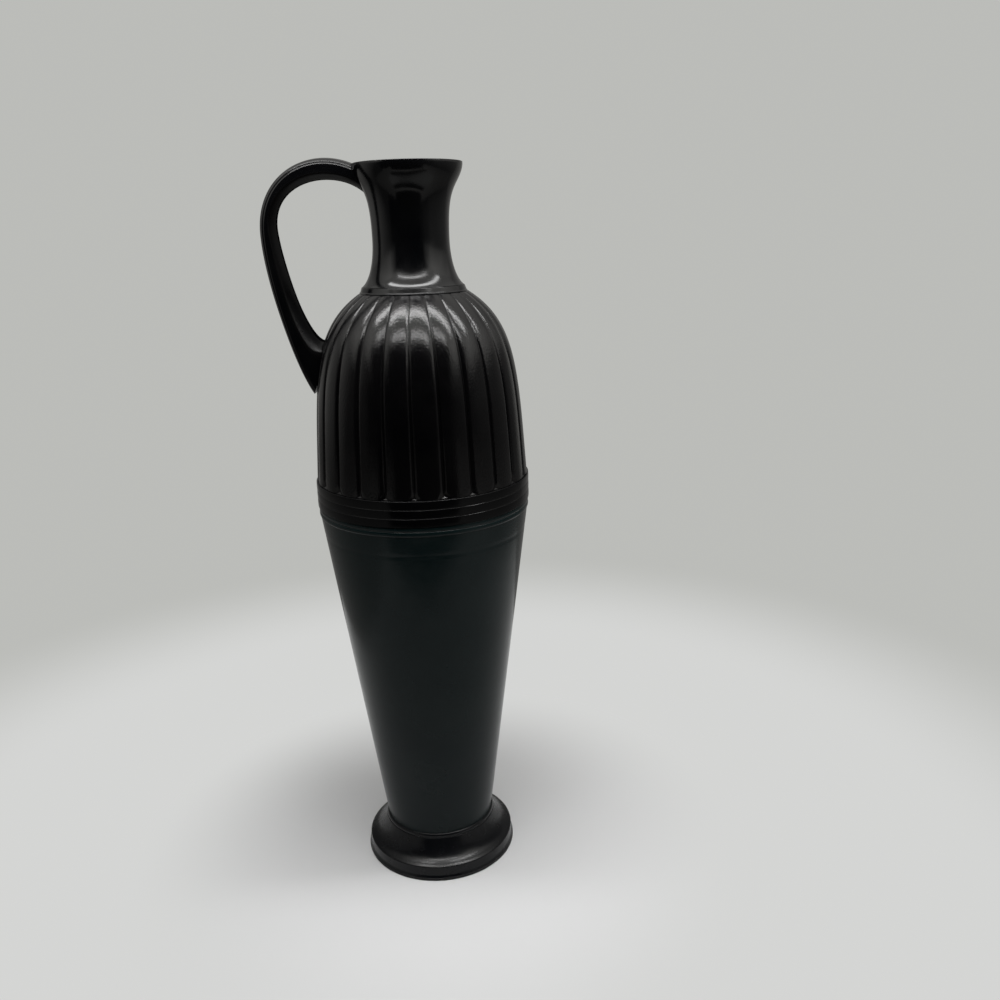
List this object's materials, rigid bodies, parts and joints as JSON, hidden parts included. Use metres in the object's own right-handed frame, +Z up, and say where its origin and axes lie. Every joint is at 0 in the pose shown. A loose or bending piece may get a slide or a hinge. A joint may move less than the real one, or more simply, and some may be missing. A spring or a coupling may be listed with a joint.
{
  "type": "metal ewer vase",
  "caption": "Tall ewer-shaped metal vase with a tapered body, lobed shoulder, flared neck, reeded loop handle and round foot.",
  "frame": {"origin": "centre of the underside of the base plate, where the vase stands on a table", "axes": "+Z up along the axis of the vase; the handle is on the -X side, in the X-Z plane; +Y across the handle"},
  "size_m": [0.1289, 0.1112, 0.3782],
  "materials": {
    "blackened_gloss": "blackened and lacquered, semi-gloss",
    "blackened_satin": "blackened, satin",
    "inside_metal": "blackened, dull, as left from the bath"
  },
  "bodies": {
    "root": {"base_plate": "inside_metal", "foot": "blackened_satin", "foot_bead": "blackened_satin", "lower_body": "blackened_satin", "body_floor": "inside_metal", "girdle_band": "blackened_gloss", "shoulder": "blackened_gloss", "collar_ring": "blackened_gloss", "neck": "blackened_gloss", "handle": "blackened_gloss"}
  },
  "joints": []
}
